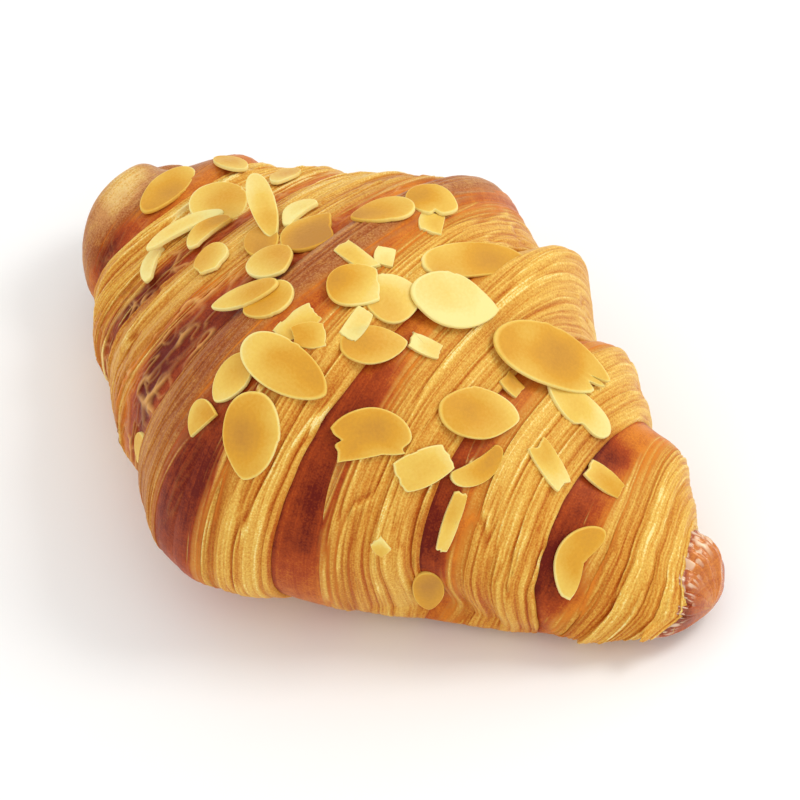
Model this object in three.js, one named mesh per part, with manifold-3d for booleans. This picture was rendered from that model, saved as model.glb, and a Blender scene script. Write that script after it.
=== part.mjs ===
// An almond croissant: one rolled, baked pastry with flaked almonds stuck to its crust.
// X runs along the roll, -Y is its near side, +Z is up, and Z = 0 is the flat base it was baked on.
// The origin lies on that base, under the middle of the roll.

import * as THREE from 'three';
import Module from 'manifold-3d';

// Driving dimensions of the roll, in millimetres
const LEFT_TIP = -76.5;
const RIGHT_TIP = 77;
const REACH = 75; // half length that the tapers and the bow are stated for
const HALF_WIDTH = 49.2;
const HEIGHT = 61;
const BOW = 12; // how far both tips curve back, towards +Y

// Taper of each half: the share of the middle size left at the tip, and how fast it gets there
const LEFT_TAPER = { end: 0.27, power: 1 };
const RIGHT_TAPER = { end: 0.14, power: 1.09 };
const FULLNESS = 0.9;
const MIDDLE_ROUNDING = 10; // radius that rounds off the taper where the two halves meet

// Cross-section: a rounded oval, widest at a share of its height, with a flat base
const SQUARENESS = 2.2;
const WAIST = 0.43;
const UNDERCUT = 1.12;

// Tips: rounded over a short length, and lifted off the base
const LEFT_ROUNDING = 6;
const RIGHT_ROUNDING = 5;
const LEFT_LIFT = 11;
const RIGHT_LIFT = 2.8;
const LIFT_START = 0.55; // share of the reach where a tip starts to lift
const LIFT_LIMIT = 1.05;

// Swellings and hollows of the hand-rolled dough, each as [along mm, around degrees from the top
// to the near side, height mm, spread along mm, spread around degrees]
const BULGES = [
  [-73, 30, 1.2, 4, 35],
  [-72, 85, -1, 6, 40],
  [-70, -50, -6.2, 6, 35],
  [-60, 85, -2.8, 4.5, 40],
  [-56, -45, 3.5, 6, 30],
  [-44, 88, -1.3, 6, 40],
  [-38, -60, 1.5, 5, 35],
  [-25, -60, -1.2, 5, 35],
  [-3, 108, 4.5, 13, 32],
  [10, -60, -4.8, 8, 40],
  [17, -65, 4.6, 4, 40],
  [28, -65, -4.2, 4.5, 35],
  [36, -65, 1.6, 5, 35],
  [40, 106, -6.5, 13, 30],
  [55, -65, 2.6, 5, 35],
  [62, 100, 2, 6, 30],
  [68, -60, -1, 6, 40],
  [74, 85, 1.8, 5, 50],
];

// Edges of the rolled dough, from the left tip to the right: where an edge lies on the near side, how far
// it has moved along the roll once it is round on the far side, and the degrees that both are turned up
const WRAP_EDGES = [
  { near: -62.5, lean: 11, turn: 0 },
  { near: -46, lean: 15, turn: 0 },
  { near: -20.5, lean: 12, turn: 0 },
  { near: 15, lean: -3.5, turn: 0 },
  { near: 37, lean: -8, turn: 0 },
  { near: 55, lean: -8, turn: 0 },
  { near: 74.8, lean: -9.5, turn: 35 },
];
const MIDDLE_WRAP = 3; // the outermost wrap, whose skin lies half way between its two edges

// Relief of a wrap, from the dark skin beside the last edge out to its own flaky edge
const SKIN_DROP = 0.9;
const CREST = 1.4;
const CREST_AT = 0.75;
const EDGE_ROLL = 1.2;
const STEP_RUN = 0.8; // length along the roll of the step down at an edge
const FLAKY_FROM = 0.34; // share of a wrap that is smooth skin
const PLEATS = 3;
const PLEAT_DEPTH = 0.5;
const RELIEF_FULL = -0.3; // cosine of the angle from the top where the relief starts to fade out
const RELIEF_GONE = -0.8;

// Facets
const AROUND = 30;
const SKIN_COLUMNS = 3;
const TIP_COLUMNS = 6;
const OUTLINE_POINTS = 14;

// Almond flakes
const FLAKE_THICKNESS = 1.6;
const FLAKE_SINK = 0.9; // depth that a flake is baked into the crust
const FLAKE_LEVEL = 0.8; // height that one more flake adds to a pile
const FLAKE_DRAPE = 0.6; // share of the crust's curve that a flake follows
const FLAKE_POINT = 0.25; // how pointed the tip is
const FLAKE_BELLY = 0.12; // how much fuller the blunt end is
const FLAKE_MERGE = 0.05; // outline points closer than this are one point
const FLAKE_FOOT_LONG = 0.35; // shares of its length and width, from its middle, where a flake touches down
const FLAKE_FOOT_WIDE = 0.3;

// Shapes of flake: shares of the half length and half width where it is broken off, and its bend in mm
const FLAKE_KINDS = {
  whole: { tip: 1, tail: 1, side: 1, bend: 0 },
  blunt: { tip: 0.6, tail: 1, side: 1, bend: 0 },
  torn: { tip: 0.75, tail: 1, side: 0.45, bend: 0 },
  half: { tip: 1, tail: 1, side: 0.05, bend: 0 },
  block: { tip: 0.62, tail: 0.62, side: 1, bend: 0 },
  chip: { tip: 0.5, tail: 0.6, side: 0.6, bend: 0 },
  sliver: { tip: 1, tail: 1, side: 0.5, bend: 0.6 },
  crescent: { tip: 0.9, tail: 1, side: 1, bend: 2.5 },
};

// Flakes, each as [along mm, around degrees from the top to the near side, long mm, wide mm,
// turn degrees from +X to the near side, level in the pile, kind, rise degrees back to level]
const FLAKES = [
  // Left end
  [-60.2, -3.6, 16, 8, 70, 0, 'whole', 6],
  [-52.5, -31, 12.5, 5.5, 20, 0, 'whole', 0],
  [-43, -5.5, 15, 12, 10, 0, 'whole', 14],
  [-44.3, 8.7, 17, 4, 100, 1, 'sliver', 14],
  [-39.5, 5.5, 11, 5, 85, 1, 'sliver', 10],
  [-28, -4, 20, 5.2, 34, 1, 'whole', 20],
  [-30, 14, 9, 7.5, 40, 0, 'blunt', 6],
  [-45.5, 27, 10, 4, 45, 0, 'sliver', 0],
  [-23, 3.7, 11, 7, 30, 0, 'whole', 8],
  [-23, -7.5, 9, 4.5, 90, 0, 'sliver', 10],
  [-15, 9, 11.5, 9.5, 10, 1, 'whole', 0],
  [-16.3, -2, 10.5, 11.5, -50, 0, 'blunt', 6],
  [-13.2, 20.3, 14.5, 6.3, 134, 1, 'whole', 0],
  [-8.2, 18.5, 10.5, 9, 120, 0, 'whole', 0],
  [-22, 82, 9, 4, 118, 0, 'sliver', 0],
  // Middle wrap
  [-0.5, 19.5, 9, 5.5, 105, 0, 'block', 0],
  [3, 20.5, 6.5, 5.5, 140, 0, 'block', 0],
  [-4, 39, 11, 7.5, 90, 0, 'whole', 0],
  [3.2, 30, 19, 10, 0, 1, 'whole', 0],
  [5.2, 49, 16.5, 11, 70, 0, 'whole', 0],
  [-5.8, 52, 7.3, 5.5, 115, 0, 'half', 0],
  [-6, -13.7, 12.5, 10, 130, 0, 'half', 0],
  [-1.5, -24.5, 10.5, 8.5, -20, 0, 'whole', 10],
  [2, -19, 6, 5, 60, 0, 'chip', 0],
  [-1.5, 0, 9.5, 4, 8, 0, 'chip', 0],
  [2.5, 5.5, 10, 9.5, -45, 1, 'blunt', 0],
  [2, -3.5, 4.5, 4, 60, 0, 'chip', 0],
  [9, 2, 11.5, 10.5, -50, 0, 'whole', 0],
  [16, -6.5, 18, 11.5, -40, 1, 'whole', 0],
  [12.4, -20.5, 24, 7.5, -65, 0, 'whole', 0],
  [12.3, 13, 13, 7.5, -45, 0, 'whole', 0],
  [18.3, 5, 6.5, 3.5, -20, 0, 'chip', 0],
  [8, 12, 7, 4, -95, 0, 'chip', 0],
  // Right end
  [32.5, -19.6, 27, 13, -40, 1, 'whole', 0],
  [41.4, -16, 16, 7, 164, 0, 'whole', 0],
  [31.6, 8.6, 16.5, 10, -33, 0, 'whole', 0],
  [32, -4, 4.5, 3.5, 0, 0, 'chip', 0],
  [21, 31.5, 15, 9.5, 140, 0, 'torn', 0],
  [30.5, 32, 11, 7, -55, 0, 'block', 0],
  [37.4, 22.2, 11.8, 4.5, -62, 0, 'sliver', 0],
  [38.7, 44.5, 12, 3.2, 82, 0, 'sliver', 0],
  [44.7, 6, 10, 5, 18, 0, 'block', 0],
  [52.3, -5, 8.5, 4.5, -10, 0, 'block', 0],
  [57.3, 35.5, 15, 6.5, 95, 0, 'crescent', 0],
  [40, 86, 11, 6, 70, 0, 'whole', 0],
  [31, 64, 3.5, 3, 30, 0, 'chip', 0],
  // Far side
  [-38.5, -30, 11, 6, 60, 0, 'whole', 0],
  [-22, -95, 10, 6.5, 20, 0, 'whole', 0],
  [-36, -97, 9, 6, -10, 0, 'whole', 0],
  [-3, -96, 11, 7, 15, 0, 'whole', 0],
  [24, -108, 10, 6.5, -10, 0, 'torn', 0],
  [39, -106, 9, 6, 10, 0, 'blunt', 0],
];

const CRUST_COLOUR = 0xd9913f;
const CRUST_ROUGHNESS = 0.5;

const PROBE_LENGTH = 0.05; // small steps used to find the crust's slopes
const PROBE_ANGLE = 0.005;

const { clamp, degToRad, euclideanModulo, lerp } = THREE.MathUtils;

// A power that keeps the sign of its base
function signedPower(base, exponent) {
  return Math.sign(base) * Math.abs(base) ** exponent;
}

// Smooth step from 0 to 1 between two values
function easeBetween(from, to, value) {
  const share = clamp((value - from) / (to - from), 0, 1);
  return share * share * (3 - 2 * share);
}

// Form of the roll

// Distance along the roll from its middle, rounded off where the two halves meet
function roundedReach(x) {
  return Math.hypot(x, MIDDLE_ROUNDING) - MIDDLE_ROUNDING;
}

// Share of the middle size that is left at x
function taperAt(x) {
  const { end, power } = x < 0 ? LEFT_TAPER : RIGHT_TAPER;
  const reach = Math.min(roundedReach(x) / roundedReach(REACH), 1);
  return end + (1 - end) * (1 - reach ** power) ** FULLNESS;
}

// Height of the swellings and hollows at a place, each falling off smoothly all round
function bulgeAt(x, angle) {
  let height = 0;
  for (const [along, around, rise, spreadAlong, spreadAround] of BULGES) {
    const turn = euclideanModulo(angle - degToRad(around) + Math.PI, 2 * Math.PI) - Math.PI;
    const offAlong = (x - along) / spreadAlong;
    const offAround = turn / degToRad(spreadAround);
    height += rise * Math.exp(-offAlong * offAlong - offAround * offAround);
  }
  return height;
}

// Quarter-round closing of the section towards each tip
function closingAt(x) {
  const left = clamp((x - LEFT_TIP) / LEFT_ROUNDING, 0, 1);
  const right = clamp((RIGHT_TIP - x) / RIGHT_ROUNDING, 0, 1);
  return Math.sqrt(1 - (1 - left) ** 2) * Math.sqrt(1 - (1 - right) ** 2);
}

// Height that the tips rise off the base
function liftAt(x) {
  const share = clamp((Math.abs(x) / REACH - LIFT_START) / (1 - LIFT_START), 0, LIFT_LIMIT);
  return (x < 0 ? LEFT_LIFT : RIGHT_LIFT) * share * share;
}

// Point of the crust at x and at an angle from the top to the near side, swollen outwards
function crustPoint(x, angle, swell) {
  const taper = taperAt(x);
  const closing = closingAt(x);
  const across = -signedPower(Math.sin(angle), 2 / SQUARENESS);
  const upward = signedPower(Math.cos(angle), 2 / SQUARENESS);
  const waist = WAIST * HEIGHT * taper;
  const rise = upward > 0 ? HEIGHT * taper + swell - waist : waist * UNDERCUT;
  const z = Math.max(waist + rise * closing * upward, 0) + liftAt(x);
  const y = (HALF_WIDTH * taper + swell) * closing * across + BOW * (x / REACH) ** 2;
  return new THREE.Vector3(x, y, z);
}

// Wraps

// Place of an edge of dough along the roll, which leans inwards from the near side to the far side
function edgeAt({ near, lean, turn }, angle) {
  const sine = Math.sin(angle + degToRad(turn));
  return near + (lean * (1 - sine) * (3 + sine)) / 4;
}

// The two ends of a wrap at an angle
function wrapSpan(wrap, angle) {
  const from = wrap === 0 ? LEFT_TIP : edgeAt(WRAP_EDGES[wrap - 1], angle);
  const to = wrap === WRAP_EDGES.length ? RIGHT_TIP : edgeAt(WRAP_EDGES[wrap], angle);
  return { from, to };
}

// Share of the way from the start of a wrap's skin out to its flaky edge
function shareOutwards(wrap, x, { from, to }) {
  const share = (x - from) / (to - from);
  if (wrap === MIDDLE_WRAP) return Math.abs(2 * share - 1);
  return clamp(wrap > MIDDLE_WRAP ? share : 1 - share, 0, 1);
}

// Height of a wrap over the plain form: low skin, rising to a crest, rolled over at the edge
function wrapSwell(wrap, share) {
  const drop = wrap === MIDDLE_WRAP ? 0 : SKIN_DROP;
  const climb = Math.sin((Math.PI / 2) * clamp(share / CREST_AT, 0, 1));
  return -drop + (drop + CREST) * climb - EDGE_ROLL * easeBetween(CREST_AT, 1, share) ** 2;
}

// Height of the crust over the plain form anywhere on the roll
function swellAt(x, angle) {
  let wrap = WRAP_EDGES.findIndex((edge) => x < edgeAt(edge, angle));
  if (wrap < 0) wrap = WRAP_EDGES.length;
  return wrapSwell(wrap, shareOutwards(wrap, x, wrapSpan(wrap, angle))) + bulgeAt(x, angle);
}

// Relief fades out under the roll, where it lay flat on the tray
function reliefFade(angle) {
  return easeBetween(RELIEF_GONE, RELIEF_FULL, Math.cos(angle));
}

// Shares of a wrap where the crust has a column of facets: a few on the skin, two for each pleat
function outwardColumns() {
  const columns = [];
  for (let i = 0; i < SKIN_COLUMNS; i += 1) {
    columns.push({ share: (FLAKY_FROM * i) / SKIN_COLUMNS, groove: 0 });
  }
  for (let i = 0; i <= 2 * PLEATS; i += 1) {
    columns.push({ share: lerp(FLAKY_FROM, 1, i / (2 * PLEATS)), groove: i % 2 });
  }
  return columns;
}

// Shares of a plain tip, closer together where it rounds over
function tipColumns() {
  const columns = [];
  for (let i = 0; i < TIP_COLUMNS; i += 1) {
    columns.push({ share: Math.sin((Math.PI / 2) * (i / (TIP_COLUMNS - 1))), groove: 0 });
  }
  return columns;
}

// Columns of a wrap from left to right, each with its place between the wrap's two ends
function wrapColumns(wrap) {
  const tip = wrap === 0 || wrap === WRAP_EDGES.length;
  const right = tip ? tipColumns() : outwardColumns();
  const left = right.map(({ share, groove }) => ({ share: -share, groove })).reverse();
  if (wrap < MIDDLE_WRAP) return left.map(({ share, groove }) => ({ place: 1 + share, groove }));
  if (wrap > MIDDLE_WRAP) return right.map(({ share, groove }) => ({ place: share, groove }));
  const both = [...left.slice(0, -1), ...right];
  return both.map(({ share, groove }) => ({ place: (1 + share) / 2, groove }));
}

// Place along the roll of a column at an angle, kept clear of the steps at both ends of its wrap
function columnX(wrap, column, angle) {
  const { from, to } = wrapSpan(wrap, angle);
  const start = wrap === 0 ? from : from + STEP_RUN / 2;
  const end = wrap === WRAP_EDGES.length ? to : to - STEP_RUN / 2;
  return lerp(start, end, column.place);
}

function crustRing(wrap, column) {
  const ring = [];
  for (let i = 0; i < AROUND; i += 1) {
    const angle = (2 * Math.PI * i) / AROUND;
    const x = columnX(wrap, column, angle);
    const share = shareOutwards(wrap, x, wrapSpan(wrap, angle));
    const swell = wrapSwell(wrap, share) + bulgeAt(x, angle) - PLEAT_DEPTH * column.groove;
    ring.push(crustPoint(x, angle, swell * reliefFade(angle)));
  }
  return ring;
}

// Closed crust: rings of points from tip to tip, each tip closed by a fan
function crustMesh() {
  const rings = [];
  for (let wrap = 0; wrap <= WRAP_EDGES.length; wrap += 1) {
    for (const column of wrapColumns(wrap)) rings.push(crustRing(wrap, column));
  }
  rings.shift();
  rings.pop();
  const points = rings.flat();
  const triangles = [];
  for (let r = 0; r + 1 < rings.length; r += 1) {
    for (let i = 0; i < AROUND; i += 1) {
      const a = r * AROUND + i;
      const b = r * AROUND + ((i + 1) % AROUND);
      triangles.push([a, b, a + AROUND], [b, b + AROUND, a + AROUND]);
    }
  }
  const last = (rings.length - 1) * AROUND;
  const leftTip = points.push(crustPoint(LEFT_TIP, 0, 0)) - 1;
  const rightTip = points.push(crustPoint(RIGHT_TIP, 0, 0)) - 1;
  for (let i = 0; i < AROUND; i += 1) {
    const next = (i + 1) % AROUND;
    triangles.push([next, i, leftTip], [last + i, last + next, rightTip]);
  }
  return { points, triangles };
}

// Almond flakes

// Outline of a flake about its middle: an oval with one pointed end, less what is broken off
function flakeOutline(long, wide, { tip, tail, side, bend }) {
  const points = [];
  for (let i = 0; i < OUTLINE_POINTS; i += 1) {
    const phase = (2 * Math.PI * i) / OUTLINE_POINTS;
    const cosine = Math.cos(phase);
    const sharpness = 1 + (FLAKE_POINT * (1 + cosine)) / 2;
    const half = signedPower(Math.sin(phase), sharpness) * (1 - FLAKE_BELLY * cosine);
    points.push(new THREE.Vector2(clamp(cosine, -tail, tip), Math.max(half, -side)));
  }
  const box = new THREE.Box2().setFromPoints(points);
  const middle = box.getCenter(new THREE.Vector2());
  const size = box.getSize(new THREE.Vector2());
  for (const point of points) {
    point.sub(middle).divide(size);
    const along = 2 * point.x;
    point.set(long * point.x, wide * point.y - bend * (along * along - 0.5));
  }
  return points.filter((point, i) => point.distanceTo(points.at(i - 1)) > FLAKE_MERGE);
}

// Flat frame on the plain form at a flake's middle
function crustFrame(x, angle) {
  const middle = crustPoint(x, angle, 0);
  const along = crustPoint(x + PROBE_LENGTH, angle, 0).sub(crustPoint(x - PROBE_LENGTH, angle, 0));
  const around = crustPoint(x, angle + PROBE_ANGLE, 0).sub(crustPoint(x, angle - PROBE_ANGLE, 0));
  const radius = around.length() / (2 * PROBE_ANGLE);
  along.normalize();
  around.addScaledVector(along, -around.dot(along)).normalize();
  const outward = around.clone().cross(along);
  return { middle, along, around, outward, radius };
}

// Closed mesh of one flake, lying on the crust's high points
function flakeMesh([x, aroundDegrees, long, wide, turnDegrees, level, kind, riseDegrees]) {
  const angle = degToRad(aroundDegrees);
  const turn = degToRad(turnDegrees);
  const { middle, along, around, outward, radius } = crustFrame(x, angle);
  const downhill = outward.clone().multiplyScalar(outward.z).sub(new THREE.Vector3(0, 0, 1)).normalize();

  // Where a point of the flake lies: its place in the frame, the crust's fall away from the
  // frame's plane there, the flake's own rise back to level, and the crust's relief
  function footing({ x: u, y: v }) {
    const forward = u * Math.cos(turn) - v * Math.sin(turn);
    const sideways = u * Math.sin(turn) + v * Math.cos(turn);
    const place = along.clone().multiplyScalar(forward).addScaledVector(around, sideways);
    const footX = x + forward * along.x;
    const footAngle = angle + sideways / radius;
    const fall = crustPoint(footX, footAngle, 0).sub(middle).dot(outward);
    const levelling = Math.tan(degToRad(riseDegrees)) * place.dot(downhill);
    return { place, fall, levelling, swell: swellAt(footX, footAngle) };
  }

  const touching = [
    new THREE.Vector2(0, 0),
    new THREE.Vector2(FLAKE_FOOT_LONG * long, 0),
    new THREE.Vector2(-FLAKE_FOOT_LONG * long, 0),
    new THREE.Vector2(0, FLAKE_FOOT_WIDE * wide),
    new THREE.Vector2(0, -FLAKE_FOOT_WIDE * wide),
  ];
  const seats = touching.map((spot) => {
    const { fall, levelling, swell } = footing(spot);
    return swell + (1 - FLAKE_DRAPE) * fall - levelling;
  });
  const underside = Math.max(...seats) - FLAKE_SINK + level * FLAKE_LEVEL;

  function flakePoint(spot, height) {
    const { place, fall, levelling } = footing(spot);
    return middle.clone().add(place).addScaledVector(outward, FLAKE_DRAPE * fall + levelling + height);
  }

  const outline = flakeOutline(long, wide, FLAKE_KINDS[kind]);
  const count = outline.length;
  const centre = new THREE.Vector2(0, 0);
  const points = [
    ...outline.map((spot) => flakePoint(spot, underside + FLAKE_THICKNESS)),
    ...outline.map((spot) => flakePoint(spot, underside)),
    flakePoint(centre, underside + FLAKE_THICKNESS),
    flakePoint(centre, underside),
  ];
  const top = 2 * count;
  const bottom = top + 1;
  const triangles = [];
  for (let i = 0; i < count; i += 1) {
    const next = (i + 1) % count;
    triangles.push([top, next, i], [bottom, count + i, count + next]);
    triangles.push([i, next, count + i], [next, count + next, count + i]);
  }
  return { points, triangles };
}

// Joining

const wasm = await Module();
wasm.setup();

function toSolid({ points, triangles }) {
  const vertProperties = new Float32Array(points.flatMap((point) => point.toArray()));
  const triVerts = new Uint32Array(triangles.flat());
  return new wasm.Manifold(new wasm.Mesh({ numProp: 3, vertProperties, triVerts }));
}

// The largest body only: a hollow that joining seals is filled, and a loose scrap is dropped
function largestBody(solid) {
  const bodies = solid.decompose();
  return bodies.reduce((best, body) => (body.volume() > best.volume() ? body : best));
}

function toGeometry(solid) {
  const { vertProperties, triVerts } = solid.getMesh();
  const geometry = new THREE.BufferGeometry();
  geometry.setAttribute('position', new THREE.BufferAttribute(vertProperties, 3));
  geometry.setIndex(new THREE.BufferAttribute(triVerts, 1));
  geometry.computeVertexNormals();
  return geometry;
}

// The croissant: the crust with every flake baked on

function almondCroissant() {
  let solid = toSolid(crustMesh());
  for (const flake of FLAKES) solid = solid.add(toSolid(flakeMesh(flake)));
  const material = new THREE.MeshStandardMaterial({
    color: CRUST_COLOUR,
    roughness: CRUST_ROUGHNESS,
    metalness: 0,
  });
  const mesh = new THREE.Mesh(toGeometry(largestBody(solid)), material);
  mesh.name = 'almond_croissant';
  return mesh;
}

const croissant = new THREE.Group();
croissant.add(almondCroissant());

export default croissant;
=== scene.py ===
"""Almond croissant: its crust, its almonds and a plain stage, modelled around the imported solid.

The pieces are worked out in millimetres on the roll's own coordinates: x along the roll, and the angle
from its top to its near side. They go into their meshes in metres.
"""

import math
from typing import NamedTuple

import bpy
import numpy as np
from bpy.props import FloatProperty, FloatVectorProperty, IntProperty, PointerProperty
from bpy.types import Operator, Panel, PropertyGroup
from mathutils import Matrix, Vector


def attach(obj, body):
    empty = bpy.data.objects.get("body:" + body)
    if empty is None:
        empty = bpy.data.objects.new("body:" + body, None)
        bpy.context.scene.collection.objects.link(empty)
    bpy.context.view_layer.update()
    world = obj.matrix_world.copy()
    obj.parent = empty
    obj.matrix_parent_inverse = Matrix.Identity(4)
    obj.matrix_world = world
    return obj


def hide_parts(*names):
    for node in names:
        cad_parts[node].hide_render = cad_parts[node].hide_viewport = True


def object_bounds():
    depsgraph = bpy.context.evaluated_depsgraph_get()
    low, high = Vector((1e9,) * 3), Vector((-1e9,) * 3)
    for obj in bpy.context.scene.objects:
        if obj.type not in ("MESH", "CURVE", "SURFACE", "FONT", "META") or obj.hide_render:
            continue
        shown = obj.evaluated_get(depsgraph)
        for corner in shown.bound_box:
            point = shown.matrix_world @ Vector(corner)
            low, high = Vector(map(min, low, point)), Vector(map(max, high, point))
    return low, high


bl_info = {
    "name": "Almond Croissant",
    "version": (1, 0, 0),
    "blender": (4, 5, 0),
    "location": "View3D > Sidebar > Croissant",
    "description": "Models a baked almond croissant around its packed solid",
    "category": "Add Mesh",
}

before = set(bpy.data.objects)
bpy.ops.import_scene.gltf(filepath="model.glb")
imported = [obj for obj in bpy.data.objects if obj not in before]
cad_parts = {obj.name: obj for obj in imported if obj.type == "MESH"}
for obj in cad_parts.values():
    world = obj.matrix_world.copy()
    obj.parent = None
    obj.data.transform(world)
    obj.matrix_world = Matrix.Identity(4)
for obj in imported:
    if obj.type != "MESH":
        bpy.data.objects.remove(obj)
CAD_LOW, CAD_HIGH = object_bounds()

MM = 0.001
NODE = "almond_croissant"
BODY = "root"

# Form of the roll, in millimetres
LEFT_TIP = CAD_LOW.x / MM
RIGHT_TIP = CAD_HIGH.x / MM
REACH = 75.0
MIDDLE_ROUNDING = 10.0
LEFT_TAPER = (0.27, 1.0)
RIGHT_TAPER = (0.14, 1.09)
FULLNESS = 0.9
SQUARENESS = 2.2
WAIST = 0.43
UNDERCUT = 1.12
LEFT_ROUNDING = 6.0
RIGHT_ROUNDING = 5.0
LEFT_LIFT = 11.0
RIGHT_LIFT = 2.8
LIFT_START = 0.55
LIFT_LIMIT = 1.05
RELIEF_GONE = -0.8
RELIEF_FULL = -0.3

# Swellings and hollows: along mm, around degrees, height mm, spread along mm, spread around degrees
BULGES = (
    (-73, 30, 1.2, 4, 35),
    (-72, 85, -1, 6, 40),
    (-70, -50, -6.2, 6, 35),
    (-60, 85, -2.8, 4.5, 40),
    (-56, -45, 3.5, 6, 30),
    (-44, 88, -1.3, 6, 40),
    (-38, -60, 1.5, 5, 35),
    (-25, -60, -1.2, 5, 35),
    (-3, 108, 4.5, 13, 32),
    (10, -60, -4.8, 8, 40),
    (17, -65, 4.6, 4, 40),
    (28, -65, -4.2, 4.5, 35),
    (36, -65, 1.6, 5, 35),
    (40, 106, -6.5, 13, 30),
    (55, -65, 2.6, 5, 35),
    (62, 100, 2, 6, 30),
    (68, -60, -1, 6, 40),
    (74, 85, 1.8, 5, 50),
)

# Edges of the dough from left to right: place on the near side, lean to the far side, turn up in degrees
EDGES = (
    (-62.5, 11.0, 0.0),
    (-46.0, 15.0, 0.0),
    (-20.5, 12.0, 0.0),
    (15.0, -3.5, 0.0),
    (37.0, -8.0, 0.0),
    (55.0, -8.0, 0.0),
    (74.8, -9.5, 35.0),
)
MIDDLE_LEFT = 2
MIDDLE_RIGHT = 3
LAST_EDGE = 6

# Relief of a wrap from its skin out to its edge
SKIN_DROP = 0.9
CREST = 1.4
CREST_AT = 0.75
EDGE_ROLL = 1.2


class Wrap(NamedTuple):
    """Half of a wrap: its piece, the way it faces, the edges it runs between and how it is baked.

    Its layers begin at the share flaky_from of its width, sooner on the far side and at the near foot. Skin
    and toast are the browning of its skin, most at dark_at degrees, and of its layers. Crackle is how
    wrinkled its skin is, and gloss how it shines.
    """

    piece: str
    side: int
    inner: int | None
    outer: int | None
    flaky_from: float
    flaky_far: float
    skin: float
    dark_at: float
    toast: float = 0.0
    crackle: float = 0.0
    gloss: float = 0.0
    flaky_foot: float = 0.0


WRAPS = (
    Wrap("left_tip", -1, 0, None, 0.25, 0.0, 0.6, 45, toast=1.4, crackle=0.2),
    Wrap("left_outer_wrap", -1, 1, 0, 0.32, 0.3, 0.8, 36, crackle=0.8),
    Wrap("left_inner_wrap", -1, 2, 1, 0.48, 0.6, 0.92, 45, toast=0.15, crackle=1.0),
    Wrap("middle_wrap", -1, None, 2, 0.45, 0.6, 0.85, 72, toast=0.95, crackle=0.1),
    Wrap("middle_wrap", 1, None, 3, 0.34, 0.6, 0.85, 72),
    Wrap("right_inner_wrap", 1, 3, 4, 0.44, 0.6, 0.76, 58),
    Wrap("right_outer_wrap", 1, 4, 5, 0.33, 0.1, 0.76, 54, flaky_foot=0.3),
    Wrap("right_last_wrap", 1, 5, 6, 0.35, 0.0, 0.85, 40, flaky_foot=0.5),
    Wrap("right_tip", 1, 6, None, 1.2, 0.0, 0.7, 70, gloss=1.0),
)

# Hidden columns at the ends of a wrap: mm outwards, mm down, share of the section that is left
TUCK = ((-5.0, 3.0, 0.0), (-5.0, 3.0, 0.9), (-4.0, 2.0, 0.97), (-2.0, 0.8, 1.0))
LIP = (
    (0.12, 0.2, 1.0),
    (0.15, 0.6, 1.0),
    (0.0, 1.1, 0.995),
    (-1.5, 2.2, 0.95),
    (-3.0, 2.8, 0.85),
    (-3.0, 2.8, 0.0),
)

# Spots baked darker, or paler below zero: along mm, around degrees, strength, spreads in mm and degrees
SPOTS = (
    (-70, 20, -1.0, 6, 45),
    (-66, 20, -0.2, 3, 20),
    (-64, 55, 0.6, 3, 14),
    (-63, 37, 0.6, 2.5, 12),
    (-62, 22, 0.45, 2.5, 10),
    (-43, 45, 0.35, 2, 9),
    (-41, 34, 0.4, 2, 8),
    (-42, 20, 0.3, 2.5, 9),
    (-26, 49, 0.25, 2, 7),
    (-23, 61, 0.4, 2, 7),
    (-22, 70, 0.4, 2, 7),
    (2, 66, 0.2, 3.5, 12),
    (4, 84, 0.15, 3, 10),
    (17, 24, 0.25, 3, 11),
    (19, 57, 0.25, 2.5, 9),
    (21, 72, 0.25, 2.5, 8),
    (35, 48, 0.3, 2.5, 9),
    (37, 56, 0.2, 2, 7),
    (48, -16, 0.45, 4, 12),
    (49, -45, -0.3, 4, 14),
    (52, -19, 0.3, 2.5, 8),
    (54, 40, 0.25, 2.5, 13),
)

# Torn points at the foot of the last wrap: the same values in mm and degrees as a swelling has
SHARDS = (
    (72.6, 84, 4, 0.9, 8),
    (74.3, 95, 4.5, 0.9, 9),
)

# Shapes of flake: shares of the half length and half width where it is broken off, and its bend in mm
FLAKE_KINDS = {
    "whole": (1.0, 1.0, 1.0, 0.0),
    "blunt": (0.6, 1.0, 1.0, 0.0),
    "torn": (0.75, 1.0, 0.45, 0.0),
    "half": (1.0, 1.0, 0.05, 0.0),
    "block": (0.62, 0.62, 1.0, 0.0),
    "chip": (0.5, 0.6, 0.6, 0.0),
    "sliver": (1.0, 1.0, 0.5, 0.6),
    "crescent": (0.9, 1.0, 1.0, 2.5),
}


class Flake(NamedTuple):
    """A flaked almond: its place, size and turn from +X to the near side, how it lies and how it is baked.

    Its notches are where its rim is torn: degrees round the flake, depth as a share, width in degrees.
    """

    along: float
    around: float
    long: float
    wide: float
    turn: float
    kind: str
    tone: float
    level: int = 0
    rise: float = 0.0
    notches: tuple = ()


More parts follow.
